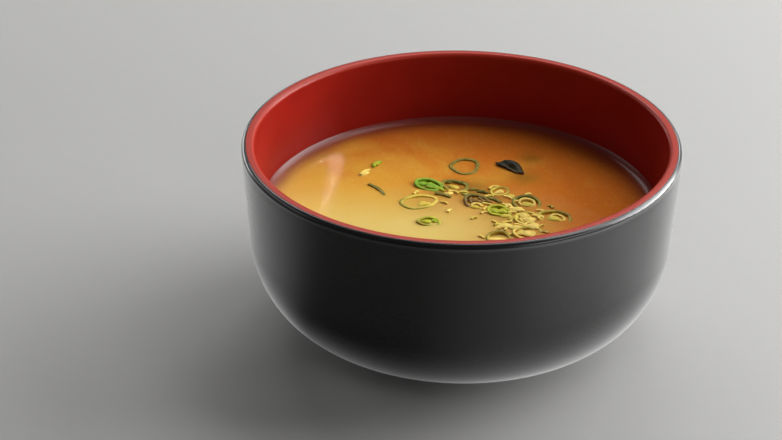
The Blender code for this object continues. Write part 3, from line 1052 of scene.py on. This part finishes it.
def tint_band(obj, outline, wall, skin, flesh, seed, dark_side=None):
    """Colours the band from its skin, on the outer side, to its flesh, darkest at one side."""
    middle = sum(outline, Vector()) / len(outline)
    tree = tree_of(outline)
    tints = []
    for vertex in obj.data.vertices:
        flat = Vector((vertex.co.x, vertex.co.y, 0.0))
        near, _index, distance = tree.find(flat)
        outwards = (flat - middle).length - (near - middle).length
        share = 0.5 + math.copysign(distance, outwards) / wall
        if dark_side is not None:
            angle = math.atan2(flat.y - middle.y, flat.x - middle.x) - dark_side
            side = 0.5 + 0.5 * math.cos(angle)
            share = share * (PALE_SIDE + DARK_SIDE * side)
            share += DARK_SPREAD * side * side - DARK_START
        share += MOTTLING * noise.noise(vertex.co * MOTTLE_SCALE + Vector((seed, 0, 0)))
        share = min(max(share, 0.0), 1.0)
        tints.append(Vector(flesh).lerp(Vector(skin), share * share * (3 - 2 * share)))
    store_colours(obj, "tint", tints)


def onion_band(name, outline, closed, height, wall, skin, flesh, seed, dark_side=None):
    """One slice, layer or strip in its own colours, cut a little askew, still at the origin."""
    obj = band(name, outline, closed, height, wall)
    # Without a seed of its own, noise_vector takes one from the clock.
    noise.seed_set(FACE_SEED)
    for vertex in obj.data.vertices:
        drift = noise.noise_vector(vertex.co * FACE_SCALE + Vector((seed, seed, 0)))
        angle = math.atan2(vertex.co.y, vertex.co.x)
        vertex.co += drift * FACE_WANDER * wall
        vertex.co.z += EDGE_WAVES * height * math.sin(2 * angle + seed)
    tint_band(obj, outline, wall, skin, flesh, seed, dark_side)
    return obj


def joined(name, pieces):
    """The pieces as one object."""
    select_only(*pieces)
    if len(pieces) > 1:
        bpy.ops.object.join()
    return active_named(name)


# A curled leaf: how far it runs round in degrees and how much that varies, how far it lies off the
# slice's middle as a share of the slice, how much lower it is, and how much skin its tint has.
CURL_SWEEP = 300
CURL_VARIATION = 55
CURL_SHIFT = 0.06
CURL_HEIGHT = 0.9
CURL_SKIN = 0.25


def onion_slice(toppings, name, size, height, wall, curls, dark_side, tints, seed):
    """A slice with the curled leaves still inside it, each a little off its middle."""
    skin, flesh, inner = (Vector(getattr(toppings, tint)) for tint in tints)
    across = [part * MM - wall for part in size]
    outline = ring_outline(across, OUTLINE_WOBBLE * seed, RING_POINTS)
    pieces = [onion_band(name, outline, True, height, wall, skin, flesh, seed, dark_side)]
    for curl, share in enumerate(curls):
        radius = share * 0.25 * (size[0] + size[1]) * MM
        bend = math.radians(CURL_SWEEP - CURL_VARIATION * math.sin(3.1 * seed + curl))
        way = 2.4 * seed + 2.1 * curl
        shift = Vector((math.cos(way), math.sin(way), 0.0)) * CURL_SHIFT * size[0] * MM
        spin = Matrix.Rotation(1.3 * way, 3, "Z")
        outline = []
        for point in strip_outline(radius * bend, bend, CURL_POINTS):
            point = spin @ (point + Vector((0.0, radius, 0.0)))
            outline.append(Vector((point.x, point.y * size[1] / size[0], 0.0)) + shift)
        leaf = onion_band(
            f"{name}_{curl}", outline, False, CURL_HEIGHT * height, toppings.curl_wall,
            inner.lerp(skin, CURL_SKIN), inner, CURL_SEED + seed + curl,
        )
        pieces.append(leaf)
    return joined(name, pieces)


class MISO_OT_bowl(bpy.types.Operator):
    """Turn the bowl's black outside and its red inside"""

    bl_idname = "miso_soup.bowl"
    bl_label = "Turn the Bowl"

    def execute(self, context):
        bowl = context.scene.miso_bowl
        outside = turned("bowl_outside", outside_profile(bowl), BOWL_STEPS)
        finish_piece(outside, black_lacquer(bowl), "black_lacquer", "bowl", smooth=60.0)
        inside = turned("bowl_inside", inside_profile(bowl), BOWL_STEPS)
        finish_piece(inside, red_lacquer(bowl), "red_lacquer", "bowl", smooth=60.0)
        return {"FINISHED"}


class MISO_OT_soup(bpy.types.Operator):
    """Pour the soup up to its level, climbing the wall and what floats in it"""

    bl_idname = "miso_soup.soup"
    bl_label = "Pour the Soup"

    def execute(self, context):
        bowl = context.scene.miso_bowl
        soup = context.scene.miso_soup
        obj = turned("miso_soup", soup_profile(bowl, soup.level), SOUP_STEPS)
        shore = shores()
        edge = wall_radius(bowl, soup.level) - bowl.wall
        film_and_reflection = []
        sunken_and_shade = []
        for vertex in obj.data.vertices:
            x, y, z = vertex.co
            flat = Vector((x, y, 0.0))
            from_wall = edge - flat.length
            wander = noise.noise(flat * 70.0)
            # Dark red edge by the wall: thin broth there and painted reflection of the red wall.
            reach = (FILM_AND_REFLECTION_REACH + FILM_AND_REFLECTION_WANDER * wander) * MM
            film_and_reflection.append(math.exp(-((max(from_wall, 0.0) / reach) ** 2.2)))
            # Darker where sunken leaf shows through, and painted shade among the floating onion and
            # round everything that floats.
            cloud_and_shade = 0.0
            for spot_x, spot_y, radius, strength in SUNKEN_AND_SHADE:
                away = (flat - Vector((spot_x, spot_y, 0)) * MM).length / (radius * MM)
                away *= 1 + 0.35 * noise.noise(flat * 260.0)
                cloud_and_shade = max(cloud_and_shade, strength * math.exp(-(away**2)))
            if z > soup.level - 0.01 * MM:
                distance = shore.find(flat)[2]
                vertex.co.z += SHORE_RISE * math.exp(-distance / SHORE_REACH)
                cloud_and_shade = max(cloud_and_shade, SHORE_SHADE * math.exp(-distance / SHORE_SHADE_REACH))
            sunken_and_shade.append(cloud_and_shade)
        store_values(obj, "film_and_reflection", film_and_reflection)
        store_values(obj, "sunken_and_shade", sunken_and_shade)
        finish_piece(obj, miso_broth(soup), "miso_soup", "soup", smooth=60.0)
        return {"FINISHED"}


class MISO_OT_rings(bpy.types.Operator):
    """Float the closed slices of green onion"""

    bl_idname = "miso_soup.onion_rings"
    bl_label = "Float the Onion Rings"

    def execute(self, context):
        toppings = context.scene.miso_toppings
        level = context.scene.miso_soup.level
        for index, (node, size, turn, height, proud, lean, wall, *rest) in enumerate(RINGS):
            curls, dark, *tints = rest
            name = node.replace("onion", "green_onion")
            dark_side = math.radians(dark - turn)
            obj = onion_slice(
                toppings, name, size, height * MM, wall * MM, curls, dark_side, tints, index
            )
            obj.location, obj.rotation_euler = placed(node, height, proud, turn, lean, level)
            settle(obj)
            slot = "onion_pale" if index % 3 == 2 else "onion_green"
            finish_piece(obj, onion_material(), slot, node, smooth=70.0)
        return {"FINISHED"}


class MISO_OT_strips(bpy.types.Operator):
    """Float the open strips of green onion"""

    bl_idname = "miso_soup.onion_strips"
    bl_label = "Float the Onion Strips"

    def execute(self, context):
        toppings = context.scene.miso_toppings
        level = context.scene.miso_soup.level
        for index, (node, run, turn, bend, height, proud, lean, *tints) in enumerate(STRIPS):
            outline = strip_outline(run * MM, math.radians(bend), STRIP_POINTS)
            name = node.replace("onion", "green_onion")
            skin, flesh = (getattr(toppings, tint) for tint in tints)
            obj = onion_band(
                name, outline, False, height * MM, toppings.strip_wall,
                skin, flesh, STRIP_SEED + index,
            )
            obj.location, obj.rotation_euler = placed(node, height, proud, turn, lean, level)
            settle(obj)
            finish_piece(obj, onion_material(), "onion_green", node, smooth=70.0)
        return {"FINISHED"}


# A flake: waves round it as their number, depth and share of its seed, its sag over its length, and
# its bumps.
FLAKE_WAVES = ((3, 0.16, 1), (5, 0.08, -2))
FLAKE_CROWN = 0.03
FLAKE_SAG = 0.18
FLAKE_BUMPS = 0.10 * MM


def flake(name, size, tint, seed):
    """A thin, rounded flake of soaked leaf, bent a little, still at the origin."""
    select_only()
    bpy.ops.mesh.primitive_uv_sphere_add(segments=14, ring_count=8, radius=0.5)
    obj = active_named(name)
    for vertex in obj.data.vertices:
        angle = math.atan2(vertex.co.y, vertex.co.x)
        swell = 1
        for count, depth, share in FLAKE_WAVES:
            swell += depth * math.sin(count * angle + share * seed)
        vertex.co.x *= swell * size[0]
        vertex.co.y *= swell * size[1]
        vertex.co.z *= FLAKE_THICKNESS
        along = vertex.co.x / size[0]
        vertex.co.z += size[0] * (FLAKE_CROWN - FLAKE_SAG * along * along)
        vertex.co.z += FLAKE_BUMPS * noise.noise(vertex.co * 800.0 + Vector((seed, 0, 0)))
    tints = []
    for vertex in obj.data.vertices:
        share = 0.5 + 0.5 * noise.noise(vertex.co * 500.0 + Vector((0, seed, 0)))
        tints.append(Vector(tint) * (0.75 + 0.4 * share))
    store_colours(obj, "tint", tints)
    return obj


class MISO_OT_scraps(bpy.types.Operator):
    """Scatter torn scraps and flat flakes of leaf over and between the slices"""

    bl_idname = "miso_soup.onion_scraps"
    bl_label = "Scatter the Onion Scraps"

    def execute(self, context):
        toppings = context.scene.miso_toppings
        level = context.scene.miso_soup.level
        made = []
        for index, (x, y, run, turn, bend, tint) in enumerate(SCRAPS):
            outline = strip_outline(run * MM, math.radians(bend), SCRAP_POINTS)
            skin = getattr(toppings, tint)
            obj = onion_band(
                f"scrap_{index}", outline, False, SCRAP_HEIGHT, toppings.curl_wall,
                skin, toppings.pale, SCRAP_SEED + index,
            )
            obj.location = Vector((x * MM, y * MM, level + SCRAP_RISE)) + DRIFT
            lean = (0.12 * math.sin(index), 0.1 * math.cos(2.0 * index))
            obj.rotation_euler = (*lean, math.radians(turn))
            settle(obj)
            made.append(obj)
        for index, (x, y, run, across, turn, rise, tint) in enumerate(FLAKES):
            size = (run * MM, across * MM)
            obj = flake(f"flake_{index}", size, getattr(toppings, tint), index)
            obj.location = Vector((x * MM, y * MM, level + (rise - FLAKE_SINK) * MM)) + DRIFT
            lean = (0.10 * math.sin(3.0 * index), 0.1 * math.cos(index))
            obj.rotation_euler = (*lean, math.radians(turn))
            settle(obj)
            made.append(obj)
        scraps = joined("onion_scraps", made)
        finish_piece(scraps, onion_material(), "onion_pale", smooth=70.0)
        return {"FINISHED"}


class MISO_OT_wakame(bpy.types.Operator):
    """Float the folded scrap of wakame"""

    bl_idname = "miso_soup.wakame"
    bl_label = "Float the Wakame"

    def execute(self, context):
        toppings = context.scene.miso_toppings
        level = context.scene.miso_soup.level
        long, wide = WAKAME_LENGTH, WAKAME_WIDTH
        select_only()
        bpy.ops.mesh.primitive_grid_add(x_subdivisions=34, y_subdivisions=24, size=1.0)
        obj = active_named("wakame_leaf")
        thin = []
        for vertex in obj.data.vertices:
            along = vertex.co.x + 0.5
            across = vertex.co.y
            # Broad at its start and narrow at its end, folded along, and heaped near its start.
            taper = math.sqrt(math.sin(math.pi * (0.12 + 0.80 * along))) * (1.05 - 0.55 * along)
            fold = math.sin(3 * math.pi * across + 2.0 * along) * (1.1 - 0.7 * along)
            thin.append(min(1.0, max(0.0, 1.3 * along - 0.35 + 1.2 * (abs(across) - 0.3))))
            wander = WAKAME_WANDER * wide
            vertex.co.x = (along - 0.5) * long + wander * math.sin(5.0 * across + 0.6)
            vertex.co.y = across * wide * taper + wander * math.sin(4.0 * along)
            off_heap = (across / HEAP_REACH) ** 2 + ((along - HEAP_PLACE) / HEAP_REACH) ** 2
            vertex.co.z = HEAP_HEIGHT * math.exp(-off_heap) + FOLD_HEIGHT * fold + WAKAME_RISE
            vertex.co.z += WAKAME_BUMPS * noise.noise(vertex.co * 900.0)
        store_values(obj, "thin", thin)
        skin = obj.modifiers.new("Thickness", "SOLIDIFY")
        skin.thickness = WAKAME_THICKNESS
        skin.offset = 0.0
        soft = obj.modifiers.new("Soft", "SUBSURF")
        soft.levels = 1
        soft.render_levels = 1
        apply_modifiers(obj)
        middle = box_middle("wakame") + WAKAME_SHIFT
        obj.location = (middle.x, middle.y, level + 0.05 * MM)
        obj.rotation_euler = (0.0, 0.0, WAKAME_TURN)
        settle(obj)
        finish_piece(obj, wakame_leaf(toppings), "wakame", "wakame", smooth=80.0)
        return {"FINISHED"}


class MISO_OT_grains(bpy.types.Operator):
    """Scatter grains of miso over the soup"""

    bl_idname = "miso_soup.miso_grains"
    bl_label = "Scatter the Miso Grains"

    def execute(self, context):
        level = context.scene.miso_soup.level
        draw = random.Random(7)
        select_only()
        bpy.ops.mesh.primitive_ico_sphere_add(subdivisions=1, radius=GRAIN_RADIUS)
        pattern = bpy.context.active_object
        made = []
        while len(made) < GRAIN_COUNT:
            radius = GRAIN_FIELD * math.sqrt(draw.random())
            angle = draw.uniform(0.0, math.tau)
            size = draw.uniform(0.5, 1.5)
            copy = pattern.copy()
            copy.data = pattern.data.copy()
            bpy.context.scene.collection.objects.link(copy)
            place = (radius * math.cos(angle), radius * math.sin(angle), level - GRAIN_SINK)
            copy.location = place
            copy.rotation_euler = (draw.uniform(0, 3), draw.uniform(0, 3), draw.uniform(0, 3))
            copy.scale = (size, size * draw.uniform(0.6, 1.0), size * 0.6)
            made.append(copy)
        bpy.data.objects.remove(pattern)
        grains = joined("miso_grains", made)
        settle(grains)
        finish_piece(grains, miso_grain(), "miso_soup", smooth=80.0)
        return {"FINISHED"}


class MISO_OT_stage(bpy.types.Operator):
    """Set the pale floor, the soft lights and the camera"""

    bl_idname = "miso_soup.stage"
    bl_label = "Set the Stage"

    def execute(self, context):
        stage = context.scene.miso_stage
        stage_disc("floor", FLOOR_REACH, 96, -0.2 * MM, pale_floor(stage.floor))
        hang_lights(stage)
        place_camera(context.scene)
        return {"FINISHED"}


def stage_disc(name, radius, vertices, height, material):
    """A flat disc that belongs to the stage."""
    select_only()
    place = (0, 0, height)
    bpy.ops.mesh.primitive_circle_add(
        vertices=vertices, radius=radius, fill_type="NGON", location=place
    )
    disc = active_named(name)
    disc.data.materials.append(material)
    settle(disc)
    return disc


def area_light(name, place, aim, size, power):
    """A soft panel that looks at aim and doesn't show itself."""
    bpy.ops.object.light_add(type="AREA", location=place)
    lamp = bpy.context.active_object
    lamp.name = name
    lamp.data.shape = "RECTANGLE"
    lamp.data.size, lamp.data.size_y = size
    lamp.data.energy = power
    lamp.rotation_euler = (Vector(aim) - Vector(place)).to_track_quat("-Z", "Y").to_euler()
    lamp.visible_camera = False
    return lamp


# Soft panels round the bowl, all aimed at it: name, heading and height in degrees, width, depth
# and watts.
PANELS = (
    ("high_wall", 25, 38, 1.20, 0.36, 8.4),
    ("low_wall", 18, 23, 1.20, 0.26, 10.8),
    ("table_wall", 20, 10, 0.80, 0.20, 9.6),
    ("back_wall", 97, 42, 1.00, 0.36, 5.4),
    ("top_panel", 45, 62, 1.20, 0.45, 6.0),
    ("front_panel", 270, 50, 0.60, 0.40, 1.1),
    ("front_corner", 322, 24, 0.80, 0.40, 2.4),
    ("left_fill", 165, 26, 0.90, 0.40, 0.8),
    ("left_edge", 132, 9, 0.60, 0.14, 1.7),
    ("back_edge", 92, 15, 1.00, 0.10, 0.45),
    ("wet_edge", 64, 19, 0.34, 0.16, 0.9),
)
PANEL_REACH = 1.2
FLOOR_REACH = 6.0
GLOW_REACH = 0.7
AIM = Vector((0.0, 0.0, 45.0 * MM))

# The narrow light whose reflection is the streak on the soup.
BAR_PLACE = Vector((-0.1135, 0.95, 0.531))
BAR_AIM = Vector((-0.1135, 0.0, 0.531))
BAR_SIZE = (0.003, 0.062)
BAR_WATTS = 0.0040
BAR_TILT = math.radians(-18.0)

# The floor's glow round the bowl: heading in degrees, the cosines between which it fades in,
# strength, and the distances between which it fades in or out, or None.
GLOWS = (
    (-18, -0.05, 1.0, 1.00, None),
    (-35, 0.80, 1.0, 0.9, (0.09, 0.14)),
    (80, 0.1, 1.0, 0.25, None),
    (166, 0.70, 0.98, 0.66, (0.24, 0.13)),
)
NEAR_GLOW = 0.35
NEAR_GLOW_FADE = (0.078, 0.052)


def facing(tree, heading, low, high):
    """How nearly a place lies in that heading from the middle: a smooth lobe from 0 to 1."""
    place = object_place(tree)
    way = add_node(tree, "ShaderNodeVectorMath", {0: place}, operation="NORMALIZE").outputs[0]
    angle = math.radians(heading)
    aim = (math.cos(angle), math.sin(angle), 0.0)
    cosine = add_node(tree, "ShaderNodeVectorMath", {0: way, 1: aim}, operation="DOT_PRODUCT")
    return ramp(tree, cosine.outputs["Value"], low, high)


def floor_glow(strength):
    """Light from the floor that only gloss shows: wide at the right, narrow at the left."""
    material = bpy.data.materials.new("Floor glow")
    material.use_nodes = True
    tree = material.node_tree
    tree.nodes.clear()
    place = {0: object_place(tree)}
    away = add_node(tree, "ShaderNodeVectorMath", place, operation="LENGTH").outputs["Value"]
    power = product(tree, ramp(tree, away, *NEAR_GLOW_FADE), NEAR_GLOW)
    for heading, low, high, most, fade in GLOWS:
        lobe = product(tree, facing(tree, heading, low, high), most)
        if fade:
            lobe = product(tree, lobe, ramp(tree, away, *fade))
        power = sums(tree, "ADD", power, lobe)
    power = product(tree, power, strength)
    glow = add_node(tree, "ShaderNodeEmission", {"Strength": power})
    clear = add_node(tree, "ShaderNodeBsdfTransparent")
    both = add_node(tree, "ShaderNodeAddShader", {0: glow.outputs[0], 1: clear.outputs[0]})
    add_node(tree, "ShaderNodeOutputMaterial", {"Surface": both.outputs[0]})
    return material


def lay_glow(strength):
    """A clear disc on the floor that glows in reflections alone."""
    disc = stage_disc("floor_glow", GLOW_REACH, 64, 0.5 * MM, floor_glow(strength))
    disc.visible_camera = False
    disc.visible_diffuse = False
    disc.visible_shadow = False
    disc.visible_transmission = False


def hang_lights(stage):
    for name, heading, height, width, depth, watts in PANELS:
        turn, rise = math.radians(heading), math.radians(height)
        flat = math.cos(rise)
        way = Vector((flat * math.cos(turn), flat * math.sin(turn), math.sin(rise)))
        lamp = area_light(name, AIM + PANEL_REACH * way, AIM, (width, depth), stage.lights * watts)
        lamp.visible_glossy = name != "front_panel"
    bar = area_light("window_bar", BAR_PLACE, BAR_AIM, BAR_SIZE, BAR_WATTS)
    bar.rotation_euler.rotate_axis("Z", BAR_TILT)
    bar.data.cycles.use_multiple_importance_sampling = False
    unblocked = bpy.data.collections.new("blocks_the_window_bar")
    unblocked.objects.link(bpy.data.objects["floor"])
    bar.light_linking.blocker_collection = unblocked
    lay_glow(stage.glow)
    world = bpy.data.worlds.new("Soft studio")
    world.use_nodes = True
    background = world.node_tree.nodes["Background"]
    background.inputs["Color"].default_value = (0.97, 0.98, 1.0, 1.0)
    background.inputs["Strength"].default_value = stage.ambient
    bpy.context.scene.world = world


CAMERA_PLACE = (0.0, -0.47780, 0.29621)
CAMERA_TILT = math.radians(61.08)
CAMERA_HEADING = math.radians(2.4515)
CAMERA_LENS = 84.17


def place_camera(scene):
    bpy.ops.object.camera_add(location=CAMERA_PLACE, rotation=(CAMERA_TILT, 0.0, CAMERA_HEADING))
    camera = bpy.context.active_object
    camera.name = "camera"
    camera.data.lens = CAMERA_LENS
    camera.data.sensor_width = 36.0
    camera.data.sensor_fit = "HORIZONTAL"
    camera.data.clip_start = 0.01
    camera.data.clip_end = 50.0
    scene.camera = camera
    scene.view_settings.view_transform = "Standard"
    scene.view_settings.look = "None"


OPERATORS = (
    MISO_OT_bowl,
    MISO_OT_soup,
    MISO_OT_rings,
    MISO_OT_strips,
    MISO_OT_scraps,
    MISO_OT_wakame,
    MISO_OT_grains,
    MISO_OT_stage,
)


class MISO_PT_panel(bpy.types.Panel):
    """The pieces of the bowl of miso soup and their settings"""

    bl_idname = "MISO_PT_panel"
    bl_label = "Miso Soup"
    bl_space_type = "VIEW_3D"
    bl_region_type = "UI"
    bl_category = "Miso Soup"

    def draw(self, context):
        for name, settings in SETTINGS.items():
            box = self.layout.box()
            for key in settings.__annotations__:
                box.prop(getattr(context.scene, name), key)
        for operator in OPERATORS:
            self.layout.operator(operator.bl_idname)


def register():
    for name, settings in SETTINGS.items():
        bpy.utils.register_class(settings)
        setattr(bpy.types.Scene, name, bpy.props.PointerProperty(type=settings))
    for operator in OPERATORS:
        bpy.utils.register_class(operator)
    bpy.utils.register_class(MISO_PT_panel)


def unregister():
    bpy.utils.unregister_class(MISO_PT_panel)
    for operator in reversed(OPERATORS):
        bpy.utils.unregister_class(operator)
    for name, settings in reversed(SETTINGS.items()):
        delattr(bpy.types.Scene, name)
        bpy.utils.unregister_class(settings)


def main():
    register()
    for operator in OPERATORS:
        family, name = operator.bl_idname.split(".")
        getattr(getattr(bpy.ops, family), name)()


if __name__ == "__main__":
    main()
